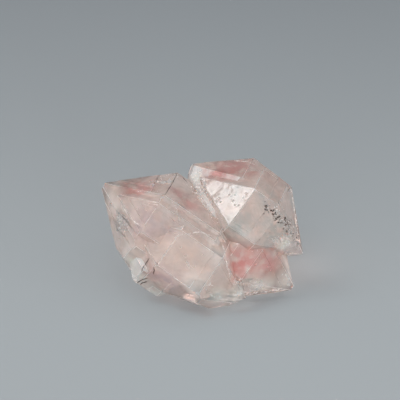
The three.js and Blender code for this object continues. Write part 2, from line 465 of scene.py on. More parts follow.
@dataclass(frozen=True)
class TintWithPaintedLight:
    """The faint colours of the crystal: its own warm colour, with patches of painted reflection,
    shade and highlight over it.

    Attributes:
        plain: The colour between the patches.
        painted_washes: The painted reflection, shade and highlight colours over it, the last one
            on top.
        mottle: The blotches that break the patches up.
    """

    plain: str = "F8E4DB"
    painted_washes: tuple[PaintedWash, ...] = (PAINTED_RUSSET_REFLECTION, PAINTED_ROSE_REFLECTION, PAINTED_COOL_SHADE_AND_REFLECTION, PAINTED_MAUVE_SHADE, PAINTED_WHITE_HIGHLIGHT)
    mottle: Clouds = Clouds(1.5, 0.35, 0.52, detail=4.0, rough=0.6, warp=0.0)

    def nodes(self, tree: NodeTree, place: NodeSocket) -> NodeSocket:
        """Adds the colour nodes.

        Args:
            tree: The material's nodes.
            place: The socket that gives the place.

        Returns:
            The socket with the colour.
        """
        uneven = self.mottle.mask(tree, place)
        colour = add_node(tree, "RGB")
        colour.outputs[0].default_value = linear(self.plain)
        socket = colour.outputs[0]
        # The painted washes lay painted reflection, shade and highlight over the crystal's own
        # colour
        for painted_wash in self.painted_washes:
            whole = strongest(tree, place, painted_wash.patches)
            share = add_node(tree, "Math", {0: whole, 1: uneven}, operation="MULTIPLY")
            mixed = add_node(tree, "Mix", {
                MIX_SHARE: share.outputs[0],
                MIX_UNDER: socket,
                MIX_OVER: linear(painted_wash.colour),
            }, data_type="RGBA")
            socket = mixed.outputs[MIXED]
        return socket


@dataclass(frozen=True)
class QuartzFace:
    """Rock crystal with one kind of face.

    The faces let the light through, bent by quartz's own refraction, and a share of the light is
    spread by fine haze, so the crystal looks pale and a little milky. Low waves and fine cross
    lines from growth make what is seen through it waver.

    Attributes:
        name: The material's name.
        roughness: How much the face blurs what it mirrors and what is seen through it.
        clear: The share of light that passes where there is no haze.
        hazy: The share that passes where the haze is thickest.
        haze: The clouds of haze.
        haze_share: How thick a full cloud is, from 0 to 1.
        patch_share: How thick the haze is in the middle of a milky place, from 0 to 1.
        stray_mm: How far light strays in the haze.
        stray_by_colour: The shares of that for red, green and blue.
        waves: The low waves.
        lines: The cross lines.
        tint_with_painted_light: The crystal's own colours, with painted reflection, shade and
            highlight over them.
        deep: The colour that light takes on its way through the crystal.
        deep_density: How soon it takes it on.
    """

    name: str
    roughness: float
    clear: float
    hazy: float = 0.3
    haze: Clouds = Clouds(2.6, 0.4, 0.65, rough=0.7, warp=0.8)
    haze_share: float = 0.22
    patch_share: float = 0.8
    stray_mm: float = 7.0
    stray_by_colour: tuple[float, float, float] = (1.0, 0.9, 0.85)
    waves: Ripples = Ripples(1.6)
    # Real cross lines are finer, and are drawn as coarse as they show
    lines: Ripples = Ripples(0.35, 0.1, 0.05, detail=1.0, along=0.12)
    tint_with_painted_light: TintWithPaintedLight = TintWithPaintedLight()
    deep: str = "FBF5F3"
    deep_density: float = 8.0

    def clearness(self, tree: NodeTree, place: NodeSocket) -> NodeSocket:
        """Adds nodes for how clear the crystal is, less so in clouds and at the milky places.

        Args:
            tree: The material's nodes.
            place: The socket that gives the place.

        Returns:
            The socket with the share of light that passes.
        """
        milky = strongest(tree, place, HAZY_PATCHES)
        thin = self.haze.mask(tree, place, self.haze_share)
        haze = {0: milky, 1: self.patch_share, 2: thin}
        total = add_node(tree, "Math", haze, operation="MULTIPLY_ADD")
        passing = {"Value": total.outputs[0], "To Min": self.clear, "To Max": self.hazy}
        return add_node(tree, "MapRange", passing).outputs["Result"]

    def material(self) -> Material:
        """Builds the material with its faint absorption.

        Returns:
            The material.
        """
        material, tree = new_material(self.name)
        place = add_node(tree, "TexCoord").outputs["Object"]
        glass = add_node(tree, "BsdfPrincipled", {
            "Base Color": self.tint_with_painted_light.nodes(tree, place),
            "Roughness": self.roughness,
            "IOR": REFRACTION,
            "Transmission Weight": self.clearness(tree, place),
            "Subsurface Weight": 1.0,
            "Subsurface Radius": self.stray_by_colour,
            "Subsurface Scale": self.stray_mm * MM,
            "Normal": self.lines.bump(tree, place, self.waves.bump(tree, place)),
        })
        # Lamps shine into the crystal as they do into the real one
        passing = add_node(tree, "BsdfTransparent", {"Color": (1, 1, 1, 1)})
        ray = add_node(tree, "LightPath")
        surface = add_node(tree, "MixShader", {
            0: ray.outputs["Is Shadow Ray"],
            1: glass.outputs[0],
            2: passing.outputs[0],
        })
        inside = add_node(tree, "VolumeAbsorption", {
            "Color": linear(self.deep),
            "Density": self.deep_density,
        })
        both = {"Surface": surface.outputs[0], "Volume": inside.outputs[0]}
        add_node(tree, "OutputMaterial", both)
        return material


# Rock crystal, grown faces: glassy and bright, with sharp reflections that waver a little
GROWN_FACE = QuartzFace("rock_crystal_as_grown", roughness=0.04, clear=0.83)
# Rock crystal, etched: small faces and spots look ground, whitish and dull
FROSTED_FACE = QuartzFace(
    "rock_crystal_frosted",
    roughness=0.3,
    clear=0.6,
    waves=Ripples(0.18, strength=0.4),
    tint_with_painted_light=TintWithPaintedLight(plain="FDF4F0"),
)
# Rock crystal, broken: shell-like breaks have a softer, paler and more uneven gleam
BROKEN_FACE = QuartzFace(
    "rock_crystal_broken",
    roughness=0.16,
    clear=0.6,
    waves=Ripples(0.6, strength=0.3),
    tint_with_painted_light=TintWithPaintedLight(plain="FDF4F0"),
)
# Rock crystal, rubbed: the long edges show as thin pale lines
WORN_EDGE = QuartzFace(
    "rock_crystal_worn_edge", roughness=0.3, clear=0.6, tint_with_painted_light=TintWithPaintedLight(plain="FFFAF7")
)


@dataclass(frozen=True)
class Inclusion:
    """Something shut in the quartz, matt and of one colour, which clouds may thin out.

    Attributes:
        name: The material's name.
        colour: Its colour.
        through: The share of light that shines through it and not back from it.
        cover: How much it hides where it is thickest, if it is thinned out.
        grain: The clouds that it lies in, or None where it is unbroken.
    """

    name: str
    colour: str
    through: float = 0.0
    cover: float = 1.0
    grain: Clouds | None = None  # real bubbles are too fine to show, so whole clouds are drawn

    def material(self) -> Material:
        """Builds the material.

        Returns:
            The material.
        """
        material, tree = new_material(self.name)
        colour = linear(self.colour)
        matt = add_node(tree, "BsdfDiffuse", {"Color": colour, "Roughness": 0.6})
        glow = add_node(tree, "BsdfTranslucent", {"Color": colour})
        body = {0: self.through, 1: matt.outputs[0], 2: glow.outputs[0]}
        surface = add_node(tree, "MixShader", body).outputs[0]
        if self.grain:
            place = add_node(tree, "TexCoord").outputs["Object"]
            cover = self.grain.mask(tree, place, self.cover)
            bare = add_node(tree, "BsdfTransparent")
            thinned = {0: cover, 1: bare.outputs[0], 2: surface}
            surface = add_node(tree, "MixShader", thinned).outputs[0]
        add_node(tree, "OutputMaterial", {"Surface": surface})
        return material


# Healed cracks, full of the finest bubbles: they stand in the clear crystal like thin smoke
WHITE_HAZE = Inclusion("healed_crack_white_haze", "F8EDE7", 0.5, 0.75, Clouds(2.2))
# Healed cracks in the red-brown places: the same smoke, with a painted reflection, the rosy colour
# of what is seen through the crystal
HAZE_PAINTED_ROSY = Inclusion("healed_crack_haze_painted_rosy", "D6958A", 0.4, 0.85, Clouds(1.2))
# Flakes of carbon: black specks that let no light through
CARBON = Inclusion("carbon_flakes_black", "40342F")
# Gaps full of gas, and painted glints: matt bright white specks that stand in for sparkle
GAS_GAPS_AND_PAINTED_GLINTS = Inclusion("gas_gaps_and_painted_glints", "FFFDFB", 0.2, grain=Clouds(0.4))
# Open cracks: fine dark lines
OPEN_CRACK = Inclusion("open_crack_dark", "3A2E2B")
# Healed seams, and painted highlights along edges and chipped rims: pale lines with gaps in them
SEAM_AND_PAINTED_HIGHLIGHT = Inclusion("healed_seam_and_painted_highlight", "FFFBF8", 0.4, grain=Clouds(0.6))


@dataclass
class CrystalBody:
    """The crystals, grown together into one solid.

    Attributes:
        name: The piece's name.
        merge_mm: Corners that lie closer than this are one.
        flat_within_deg: Faces beside each other that turn by less than this are one.
        edge_over_mm: How long a worn edge is at least.
        edge_over_deg: How much the faces at a worn edge turn at least.
        beside_mm: How wide those faces are at least.
        edge_width_mm: How far the wear reaches from an edge to either side.
        same_way_deg: Faces that turn by less than this from one another lie the same way.
        grown_over_mm2: Faces that lie the same way grew if they have this area together.
        frosted_under_mm2: Faces smaller than this are frosted.
        rough_spots: Places where all faces are frosted.
        finishes: The finishes, in the order of their Facet.
    """

    name: str = "crystals"
    merge_mm: float = 0.001
    flat_within_deg: float = 0.4
    edge_over_mm: float = 1.2
    edge_over_deg: float = 18.0
    beside_mm: float = 0.3
    edge_width_mm: float = 0.045
    same_way_deg: float = 1.0
    grown_over_mm2: float = 14.0
    frosted_under_mm2: float = 0.3
    rough_spots: tuple[Patch, ...] = (
        Patch((-0.2, 8.3, -1.6), 1.2),
        Patch((0.7, 5.4, 0.1), 0.9),
        Patch((-10.2, -6.4, -1.0), 1.6),
        Patch((9.0, -7.4, -1.0), 1.6),
    )
    finishes: tuple[QuartzFace, ...] = (GROWN_FACE, FROSTED_FACE, BROKEN_FACE, WORN_EDGE)

    def build(self) -> Object:
        """Copies the CAD node, eases its long edges and dresses its faces.

        Returns:
            The crystals as one piece.
        """
        piece = self.bare_copy()
        for finish in self.finishes:
            piece.data.materials.append(finish.material())
        self.merge(piece)
        self.ease(piece)
        bpy.ops.object.shade_flat()
        self.dress(piece)
        return piece

    def bare_copy(self) -> Object:
        """Copies the CAD node, without its parent, its properties and its material.

        Returns:
            The copy.
        """
        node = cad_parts[CAD_NODE]
        piece = node.copy()
        piece.data = node.data.copy()
        piece.name = self.name
        for key in list(piece.keys()):
            del piece[key]
        piece.parent = None
        bpy.context.scene.collection.objects.link(piece)
        piece.data.materials.clear()
        return piece

    def merge(self, piece: Object) -> None:
        """Merges loose triangles into whole faces that point outwards.

        Args:
            piece: The copy of the CAD node.
        """
        take_up(piece)
        bpy.ops.object.mode_set(mode="EDIT")
        bpy.ops.mesh.select_mode(type="VERT")
        bpy.ops.mesh.select_all(action="SELECT")
        bpy.ops.mesh.remove_doubles(threshold=self.merge_mm * MM)
        bpy.ops.mesh.dissolve_limited(angle_limit=math.radians(self.flat_within_deg))
        bpy.ops.mesh.normals_make_consistent(inside=False)
        bpy.ops.object.mode_set(mode="OBJECT")

    def ease(self, piece: Object) -> None:
        """Wears the long edges down to narrow flats.

        Args:
            piece: The crystals.
        """
        pick_nothing(piece)
        self.pick_edges(piece)
        bpy.ops.object.mode_set(mode="EDIT")
        bpy.ops.mesh.bevel(
            offset=self.edge_width_mm * MM,
            offset_type="OFFSET",
            segments=1,
            material=Facet.WORN.value,
            clamp_overlap=False,
        )
        bpy.ops.mesh.select_all(action="SELECT")
        bpy.ops.mesh.dissolve_degenerate(threshold=self.merge_mm * MM)
        bpy.ops.object.mode_set(mode="OBJECT")

    def pick_edges(self, piece: Object) -> None:
        """Selects the long edges that stand out between two faces.

        Args:
            piece: The crystals.
        """
        shape = bmesh.new()
        shape.from_mesh(piece.data)
        steep = math.radians(self.edge_over_deg)
        picked = 0
        for edge, drawn in zip(shape.edges, piece.data.edges):
            drawn.select = (
                edge.is_convex
                and edge.calc_length() > self.edge_over_mm * MM
                and edge.calc_face_angle(0.0) > steep
                and min(face.calc_area() for face in edge.link_faces)
                > self.beside_mm * MM * edge.calc_length()
            )
            picked += drawn.select
        LOG.info("eased edges: %d of %d", picked, len(shape.edges))
        shape.free()

    def dress(self, piece: Object) -> None:
        """Gives each face the finish of its kind, apart from the worn edges, which have theirs.

        Args:
            piece: The crystals.
        """
        faces = piece.data.polygons
        for face, together in zip(faces, self.area_by_way(faces)):
            if face.material_index != Facet.WORN.value:
                face.material_index = self.kind(face, together).value

    def area_by_way(self, faces: bpy.types.MeshPolygons) -> list[float]:
        """Adds up the areas of faces that lie the same way.

        Args:
            faces: The faces.

        Returns:
            For each face, the area of all faces that lie as it does, in square metres.
        """
        cosine = math.cos(math.radians(self.same_way_deg))
        ways: list[Vector] = []
        areas: list[float] = []
        groups: list[int] = []
        for face in faces:
            alike = (group for group, way in enumerate(ways) if way.dot(face.normal) > cosine)
            group = next(alike, len(ways))
            if group == len(ways):
                ways.append(face.normal.copy())
                areas.append(0.0)
            areas[group] += face.area
            groups.append(group)
        return [areas[group] for group in groups]

    def kind(self, face: MeshPolygon, together: float) -> Facet:
        """Tells how a face came about: frosted if it is small or at a rough spot.

        Args:
            face: The face.
            together: The area of all faces that lie as it does, in square metres.

        Returns:
            The kind. Of the other faces, those grew that lie as many others do.
        """
        rough = any(spot.holds(face.center) for spot in self.rough_spots)
        if face.area < self.frosted_under_mm2 * MM * MM or rough:
            return Facet.FROSTED
        if together < self.grown_over_mm2 * MM * MM:
            return Facet.BROKEN
        return Facet.GROWN


@dataclass
class Viewer:
    """Where the viewer's rays first meet the crystals."""

    crystals: Object
    eye: Vector = field(init=False)
    tree: BVHTree = field(init=False)

    def __post_init__(self) -> None:
        """Places the eye and sorts the crystals' faces for quick search."""
        self.eye = seen_at(0, VIEWER_LIFT_MM, VIEWER_AWAY_MM)
        self.tree = BVHTree.FromObject(self.crystals, bpy.context.evaluated_depsgraph_get())

    def under(self, right: float, up: float, depth: float) -> Vector | None:
        """Finds the point under the surface that is seen at a place.

        Args:
            right: Millimetres to the right of the middle of the view.
            up: Millimetres above it.
            depth: Millimetres under the surface.

        Returns:
            The point in metres, or None where there is no crystal.
        """
        ray = (seen_at(right, up, 0) - self.eye).normalized()
        hit, normal, _, _ = self.tree.ray_cast(self.eye, ray)
        if hit is None:
            return None
        return hit - normal * depth * MM


@dataclass
class ShutIn:
    """A piece shut in the crystals, which is made of many parts of one stuff."""

    name: str
    finish: Inclusion

    def parts(self, viewer: Viewer) -> list[Object]:
        """Models the parts, each kind of piece in its own way."""
        raise NotImplementedError

    def build(self, viewer: Viewer) -> Object:
        """Models the parts, joins them and dresses them.

        Args:
            viewer: Finds the places under the surface.

        Returns:
            The parts as one piece.
        """
        piece = joined(self.name, self.parts(viewer))
        piece.data.materials.append(self.finish.material())
        return piece


@dataclass(frozen=True)
class Scatter:
    """Where flakes lie: along a line as seen, strewn to its sides and under the surface.

    Attributes:
        start: Where the line starts, right and up, in millimetres.
        end: Where it ends.
        stray: How far flakes lie from the line as a rule, in millimetres.
        count: How many there are.
        size: The smallest and the largest size, in millimetres.
        depth: The least and the greatest depth, in millimetres.
    """

    start: tuple[float, float]
    end: tuple[float, float]
    stray: float
    count: int
    size: tuple[float, float]
    depth: tuple[float, float]

    def places(self, dice: random.Random) -> Iterator[tuple[float, float, float, float]]:
        """Draws a place and a size for each flake.

        Args:
            dice: Draws the numbers.

        Returns:
            Right, up, depth and size of one flake after another, in millimetres.
        """
        for _ in range(self.count):
            way = dice.random()
            right = self.start[0] + (self.end[0] - self.start[0]) * way + dice.gauss(0, self.stray)
            up = self.start[1] + (self.end[1] - self.start[1]) * way + dice.gauss(0, self.stray)
            yield right, up, dice.uniform(*self.depth), dice.uniform(*self.size)


@dataclass
class Flakes(ShutIn):
    """Many small flakes of one stuff, shut in just under the surface.

    Attributes:
        bands: Where they lie.
        seed: Starts the random draws.
        jagged_mm: How far the corners of a flake 1 mm long are out of place.
        narrow: A flake's width, as a share of its length.
        flat: A flake's thickness, as a share of its length.
        slimmer: The least and the greatest share of that width that a flake has.
    """

    bands: tuple[Scatter, ...]
    seed: int
    jagged_mm: float = 0.12
    narrow: float = 0.7
    flat: float = 0.35
    slimmer: tuple[float, float] = (0.5, 1.0)

    def first_flake(self) -> Object:
        """Models the flake that the others are copied from, 1 mm long.

        Returns:
            The flake.
        """
        bpy.ops.object.select_all(action="DESELECT")
        bpy.ops.mesh.primitive_ico_sphere_add(subdivisions=1, radius=MM / 2)
        bpy.ops.object.mode_set(mode="EDIT")
        bpy.ops.mesh.select_all(action="SELECT")
        bpy.ops.transform.vertex_random(offset=self.jagged_mm * MM, seed=self.seed)
        bpy.ops.transform.resize(value=(1.0, self.narrow, self.flat))
        bpy.ops.object.mode_set(mode="OBJECT")
        return bpy.context.object

    def parts(self, viewer: Viewer) -> list[Object]:
        """Strews copies of one flake.

        Args:
            viewer: Finds the places under the surface.

        Returns:
            The flakes.
        """
        dice = random.Random(self.seed)
        first = self.first_flake()
        flakes = []
        for band in self.bands:
            for right, up, depth, size in band.places(dice):
                place = viewer.under(right, up, depth)
                if place is None:
                    continue
                flake = first.copy()
                flake.data = first.data.copy()
                turn = Euler([dice.uniform(0, math.tau) for _ in range(3)])
                scale = Matrix.Diagonal((size, size * dice.uniform(*self.slimmer), size, 1.0))
                flake.data.transform(Matrix.Translation(place) @ turn.to_matrix().to_4x4() @ scale)
                bpy.context.scene.collection.objects.link(flake)
                flakes.append(flake)
        bpy.data.objects.remove(first)
        return flakes


@dataclass
class DarkFlakes(Flakes):
    """The black specks on the right of the upper crystal."""

    name: str = "dark_flakes"
    finish: Inclusion = CARBON
    bands: tuple[Scatter, ...] = (
        Scatter((9.4, 4.3), (12.6, 1.4), 0.45, 50, (0.18, 0.5), (0.0, 0.03)),
        Scatter((12.3, 1.8), (13.8, -0.8), 0.3, 28, (0.18, 0.45), (0.0, 0.03)),
        Scatter((9.0, 0.4), (10.4, -1.4), 0.5, 10, (0.12, 0.25), (0.0, 0.04)),
    )
    seed: int = 5


@dataclass
class GasGapsAndPaintedGlints(Flakes):
    """Painted glints, with some gaps full of gas: white specks for the sparkle beside the black
    specks, along the seams and rims, and strewn on the left.
    """

    name: str = "flakes_gas_gaps_and_painted_glints"
    finish: Inclusion = GAS_GAPS_AND_PAINTED_GLINTS
    bands: tuple[Scatter, ...] = (
        Scatter((9.8, 3.9), (13.2, 0.6), 0.55, 70, (0.15, 0.4), (0.0, 0.03)),
        Scatter((10.8, -0.9), (13.2, -2.0), 0.45, 70, (0.2, 0.5), (0.0, 0.03)),
        Scatter((0.2, 9.2), (-0.6, 6.4), 0.45, 70, (0.15, 0.45), (0.0, 0.05)),
        Scatter((-0.2, 6.4), (3.0, 1.4), 0.4, 110, (0.1, 0.32), (0.0, 0.05)),
        Scatter((1.0, 7.4), (3.6, 3.4), 0.7, 24, (0.08, 0.2), (0.0, 0.04)),
        Scatter((-9.0, 6.3), (-6.0, 6.1), 0.15, 18, (0.1, 0.3), (0.0, 0.05)),
        Scatter((2.0, -2.0), (9.6, -2.4), 0.12, 30, (0.1, 0.25), (0.0, 0.05)),
        Scatter((5.0, -7.0), (8.8, -7.7), 0.3, 90, (0.3, 0.8), (0.05, 0.15)),
        Scatter((5.4, -8.9), (6.4, -8.0), 0.4, 30, (0.3, 0.7), (0.05, 0.15)),
        Scatter((12.0, -5.6), (13.2, -7.6), 0.25, 40, (0.2, 0.6), (0.05, 0.1)),
        Scatter((-10.0, -5.0), (-9.2, -7.0), 0.25, 50, (0.2, 0.6), (0.05, 0.1)),
        Scatter((-9.0, -7.4), (-6.2, -9.0), 0.2, 50, (0.2, 0.6), (0.05, 0.1)),
        Scatter((0.8, -7.4), (2.8, -9.4), 0.4, 30, (0.2, 0.5), (0.0, 0.05)),
        Scatter((-6.0, 8.3), (-3.0, 8.2), 0.25, 26, (0.1, 0.35), (0.0, 0.05)),
        Scatter((-10.0, 4.0), (-6.0, 0.0), 1.8, 16, (0.08, 0.16), (0.0, 0.04)),
        Scatter((-3.0, -6.0), (2.5, -7.5), 1.2, 26, (0.08, 0.22), (0.0, 0.04)),
    )
    seed: int = 9


@dataclass(frozen=True)
class Veil:
    """One healed crack, a thin wavy sheet of fine haze.

    Attributes:
        at: Its middle as seen, right and up, and its depth under the surface, in millimetres.
        size: Its width and height in millimetres.
        turn: How it is turned from facing the viewer, in degrees.
        wave: How far it waves, in millimetres.
    """

    at: tuple[float, float, float]
    size: tuple[float, float]
    turn: tuple[float, float, float]
    wave: float = 0.5


@dataclass
class Veils(ShutIn):
    """Healed cracks of one colour inside the crystals.

    Attributes:
        sheets: The cracks.
        steps: How many stretches each side of a sheet has.
        thickness_mm: How thick a sheet is.
        wave_share: The size of a wave, as a share of the sheet's shorter side.
    """

    sheets: tuple[Veil, ...]
    steps: int = 18
    thickness_mm: float = 0.02
    wave_share: float = 0.35

    def parts(self, viewer: Viewer) -> list[Object]:
        """Models the sheets.

        Args:
            viewer: Finds the places under the surface.

        Returns:
            The sheets.
        """
        made = []
        for index, sheet in enumerate(self.sheets):
            middle = viewer.under(*sheet.at)
            if middle is not None:
                piece = self.flat_sheet(sheet, middle)
                self.shape(piece, sheet, f"{self.name}_{index}", viewer.crystals)
                made.append(piece)
        return made

    def flat_sheet(self, sheet: Veil, middle: Vector) -> Object:
        """Makes a flat grid of a sheet's size, turned as the sheet is.

        Args:
            sheet: The sheet.
            middle: Where its middle lies, in metres.

        Returns:
            The grid, with its place in its mesh.
        """
        turned = FACING.to_matrix() @ Euler([math.radians(a) for a in sheet.turn]).to_matrix()
        bpy.ops.object.select_all(action="DESELECT")
        bpy.ops.mesh.primitive_grid_add(
            x_subdivisions=self.steps,
            y_subdivisions=self.steps,
            size=1.0,
            location=middle,
            rotation=turned.to_euler(),
        )
        piece = bpy.context.object
        piece.scale = (sheet.size[0] * MM, sheet.size[1] * MM, 1.0)
        settle(piece)
        return piece

    def shape(self, piece: Object, sheet: Veil, name: str, crystals: Object) -> None:
        """Waves a flat sheet, gives it a thickness and trims it to the crystals.

        Args:
            piece: The flat sheet.
            sheet: The sheet that it becomes.
            name: A name for the waves.
            crystals: What it is trimmed to.
        """
        clouds = bpy.data.textures.new(name, "CLOUDS")
        clouds.noise_scale = self.wave_share * min(sheet.size) * MM
        wave = piece.modifiers.new("wave", "DISPLACE")
        wave.texture = clouds
        wave.texture_coords = "LOCAL"
        wave.strength = 2 * sheet.wave * MM
        wall = piece.modifiers.new("wall", "SOLIDIFY")
        wall.thickness = self.thickness_mm * MM
        trim = piece.modifiers.new("trim", "BOOLEAN")
        trim.operation = "INTERSECT"
        trim.solver = "EXACT"
        trim.object = crystals
        for modifier in ("wave", "wall", "trim"):
            bpy.ops.object.modifier_apply(modifier=modifier)
        piece.data.materials.clear()


@dataclass
class WhiteVeils(Veils):
    """The white veils, in all the large crystals."""

    name: str = "white_veils"
    finish: Inclusion = WHITE_HAZE
    sheets: tuple[Veil, ...] = (
        Veil((-3.5, -3.5, 1.6), (8.5, 7.0), (8, -12, 20)),
        Veil((-9.5, 2.0, 1.2), (6.5, 9.0), (-10, 24, -15)),
        Veil((6.0, 1.5, 2.4), (8.5, 7.0), (12, 14, 30)),
        Veil((12.0, 0.0, 1.0), (4.0, 7.0), (0, -25, 20)),
        Veil((-7.5, -5.5, 0.8), (7.0, 4.0), (24, 10, -30)),
        Veil((7.5, -6.0, 1.0), (7.0, 3.6), (16, 0, 12)),
    )


@dataclass
class HazeVeilsPaintedRosy(Veils):
    """Healed-crack veils with a painted rosy reflection, under the painted red-brown and rosy
    patches.
    """

    name: str = "haze_veils_painted_rosy"
    finish: Inclusion = HAZE_PAINTED_ROSY
    sheets: tuple[Veil, ...] = (
        Veil((5.2, 9.2, 0.5), (6.5, 2.4), (30, 4, -6)),
        Veil((7.8, -4.0, 0.6), (7.0, 4.2), (-6, 10, 8)),
        Veil((-9.4, 6.6, 0.5), (5.0, 2.4), (20, 0, -14)),
        Veil((-3.0, 5.4, 0.5), (2.4, 5.0), (0, 12, 20)),
    )


@dataclass(frozen=True)
class Crack:
    """One fine crack: the points that it passes as seen, in millimetres, and its half width."""

    points: tuple[tuple[float, float], ...]
    half_width: float = 0.09


@dataclass
class Cracks(ShutIn):
    """Fine cracks of one colour that come up to the surface.

    Attributes:
        lines: The cracks.
        seed: Starts the random draws.
        step_mm: How far apart the places are at which a crack is set on the surface.
        jump_mm: A longer step than this leads to another crystal, and parts the crack.
        stray_mm: How far a crack strays from its line as a rule.
        sunk: How deep its middle lies, as a share of its half width.
        uneven: The least and the greatest share of its half width that it has.
        taper: The share that it has at its ends.
    """

    lines: tuple[Crack, ...]
    seed: int = 3
    step_mm: float = 0.2
    jump_mm: float = 0.9
    stray_mm: float = 0.03
    sunk: float = 0.1
    uneven: tuple[float, float] = (0.5, 1.0)
    taper: float = 0.2

    def stretches(self, line: Crack, viewer: Viewer) -> list[list[Vector]]:
        """Follows a crack over the faces, and parts it where it passes to another crystal.

        Args:
            line: The crack.
            viewer: Finds the places at the surface.

        Returns:
            The places along each stretch, in metres.
        """
        dice = random.Random(self.seed)
        found: list[list[Vector]] = [[]]
        for start, end in zip(line.points, line.points[1:]):
            count = max(2, round(math.dist(start, end) / self.step_mm))
            for step in range(count):
                way = step / count
                right, up = (
                    a + (b - a) * way + dice.gauss(0, self.stray_mm) for a, b in zip(start, end)
                )
                place = viewer.under(right, up, line.half_width * self.sunk)
                if place is None:
                    continue
                if found[-1] and (place - found[-1][-1]).length > self.jump_mm * MM:
                    found.append([])
                found[-1].append(place)
        return [places for places in found if len(places) > 2]

    def parts(self, viewer: Viewer) -> list[Object]:
        """Draws each crack as a thin tapering curve and makes it a mesh.

        Args:
            viewer: Finds the places under the surface.

        Returns:
            The cracks.
        """
        dice = random.Random(self.seed)
        made = []
        for line in self.lines:
            curve = bpy.data.curves.new(self.name, "CURVE")
            curve.dimensions = "3D"
            curve.bevel_depth = line.half_width * MM
            curve.bevel_resolution = 1
            curve.use_fill_caps = True
            for places in self.stretches(line, viewer):
                spline = curve.splines.new("NURBS")
                spline.points.add(len(places) - 1)
                for point, place in zip(spline.points, places):
                    point.co = (*place, 1.0)
                    point.radius = dice.uniform(*self.uneven)
                spline.points[0].radius = spline.points[-1].radius = self.taper
                spline.use_endpoint_u = True
                spline.order_u = 3
                spline.resolution_u = 2
            piece = bpy.data.objects.new(self.name, curve)
            bpy.context.scene.collection.objects.link(piece)
            take_up(piece)
            bpy.ops.object.convert(target="MESH")
            made.append(bpy.context.object)
        return made


@dataclass
class DarkCracks(Cracks):
    """The fine dark cracks: most at the lower left, some at the left end and the top."""

    name: str = "dark_cracks"
    finish: Inclusion = OPEN_CRACK
    lines: tuple[Crack, ...] = (
        Crack(((-7.3, -3.5), (-7.9, -4.3), (-8.3, -5.0), (-8.55, -5.6))),
        Crack(((-6.7, -4.75), (-6.65, -5.3), (-6.85, -6.0))),
        Crack(((-7.5, -6.4), (-8.4, -6.6), (-9.3, -7.2))),
        Crack(((-7.6, -6.9), (-8.4, -7.1), (-9.0, -7.6))),
        Crack(((-5.1, -8.6), (-4.6, -8.8), (-4.3, -9.0))),
        Crack(((-6.6, -3.9), (-6.2, -4.3), (-6.0, -4.9)), 0.05),
        Crack(((-12.2, 3.4), (-10.9, 2.2), (-9.7, 0.6)), 0.06),
        Crack(((-12.6, 2.2), (-11.9, 0.6), (-10.6, -0.6)), 0.05),
        Crack(((-2.5, 8.2), (-2.0, 7.6), (-1.7, 7.2)), 0.07),
    )


@dataclass
class SeamsAndPaintedHighlights(Cracks):
    """The pale lines: seams between the crystals, and painted highlights along lines in their
    faces and chipped rims.
    """

    name: str = "seams_and_painted_highlights"
    finish: Inclusion = SEAM_AND_PAINTED_HIGHLIGHT
    lines: tuple[Crack, ...] = (
        Crack(((-12.0, 5.6), (-11.2, 4.0), (-10.1, 2.3), (-8.4, 1.0)), 0.14),
        Crack(((-8.9, 5.2), (-7.2, 4.7), (-5.8, 4.5)), 0.07),
        Crack(((-4.1, 4.8), (-3.3, 3.4), (-2.9, 1.6)), 0.06),
        Crack(((3.3, -1.6), (3.8, -4.0), (4.5, -6.8)), 0.16),
        Crack(((-3.8, -0.6), (-2.5, 0.0), (0.0, 0.3), (1.9, -0.3)), 0.09),
        Crack(((13.2, 6.6), (13.9, 2.0), (14.5, -2.6)), 0.16),
        Crack(((-10.3, -4.6), (-9.6, -6.6), (-8.3, -7.9), (-6.8, -8.8)), 0.2),
        Crack(((-6.6, -8.9), (-5.6, -9.1), (-4.9, -8.9)), 0.2),
        Crack(((4.9, 10.6), (6.8, 10.5), (8.2, 10.0)), 0.14),
        Crack(((4.6, -8.9), (8.6, -8.4), (12.4, -7.9)), 0.22),
        Crack(((4.9, -6.8), (7.0, -7.2), (9.0, -7.8), (6.0, -9.0)), 0.16),
        Crack(((12.3, -5.7), (13.4, -7.4)), 0.16),
        Crack(((-5.4, -5.2), (-2.4, -7.2), (-0.2, -8.8)), 0.07),
    )


@dataclass(frozen=True)
class SeamlessPaper:
    """Seamless paper, matt: an even pale grey ground, with painted shade that makes it a little
    darker to the back.
    """

    near: str = "9EA2A4"
    # The far colour is painted shade: the paper darkens toward the back
    far: str = "888C8F"
    far_mm: float = 140.0
    grain_mm: float = 0.4

    def material(self) -> Material:
        """Builds the material.

        Returns:
            The material.
        """
        material, tree = new_material("seamless_paper_matt")
        place = add_node(tree, "TexCoord").outputs["Object"]
        scale = 1 / (self.grain_mm * MM)
        grain = add_node(tree, "TexNoise", {"Vector": place, "Scale": scale, "Detail": 2.0})
        bump = add_node(tree, "Bump", {"Height": grain.outputs["Fac"], "Strength": 0.02})
        apart = add_node(tree, "SeparateXYZ", {"Vector": place})
        back = {"Value": apart.outputs["Y"], "From Max": self.far_mm * MM}
        away = add_node(tree, "MapRange", back)
        shade = add_node(tree, "Mix", {
            MIX_SHARE: away.outputs["Result"],
            MIX_UNDER: linear(self.near),
            MIX_OVER: linear(self.far),
        }, data_type="RGBA")
        paper = add_node(tree, "BsdfPrincipled", {
            "Base Color": shade.outputs[MIXED],
            "Roughness": 0.9,
            "Specular IOR Level": 0.2,
            "Normal": bump.outputs[0],
        })
        add_node(tree, "OutputMaterial", {"Surface": paper.outputs[0]})
        return material


